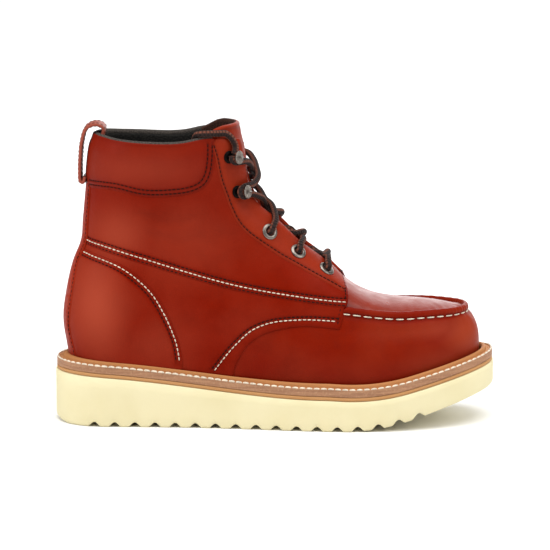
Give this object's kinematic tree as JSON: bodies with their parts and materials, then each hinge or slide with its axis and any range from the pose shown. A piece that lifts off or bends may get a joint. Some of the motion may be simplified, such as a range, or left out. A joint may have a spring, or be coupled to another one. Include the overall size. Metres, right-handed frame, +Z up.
{
  "type": "work boot",
  "caption": "Six-inch moc toe leather work boot with a padded collar, speed hooks, a storm welt and a cream wedge sole; right foot, empty.",
  "frame": {"origin": "under the middle of the boot's bounding box, on the floor", "axes": "+X from heel to toe, +Y to the inner side of the foot, +Z up"},
  "size_m": [0.305, 0.1117, 0.2096],
  "materials": {
    "wedge_rubber": "matte",
    "midsole_edge": "matte",
    "welt_strip": "satin",
    "lining": "matte",
    "upper_leather": "satin",
    "tongue_leather": "satin",
    "fitting_metal": "satin",
    "lace_cord": "matte"
  },
  "bodies": {
    "root": {"outsole": "wedge_rubber", "midsole": "midsole_edge", "welt": "welt_strip", "insole": "lining", "upper": "upper_leather", "tongue": "tongue_leather", "pull_loop": "tongue_leather", "eyelet_1_outer": "fitting_metal", "eyelet_1_inner": "fitting_metal", "eyelet_2_outer": "fitting_metal", "eyelet_2_inner": "fitting_metal", "eyelet_3_outer": "fitting_metal", "eyelet_3_inner": "fitting_metal", "hook_4_outer": "fitting_metal", "hook_4_inner": "fitting_metal", "hook_5_outer": "fitting_metal", "hook_5_inner": "fitting_metal", "lace_1": "lace_cord", "lace_2": "lace_cord", "lace_3": "lace_cord", "lace_end": "lace_cord"}
  },
  "joints": []
}
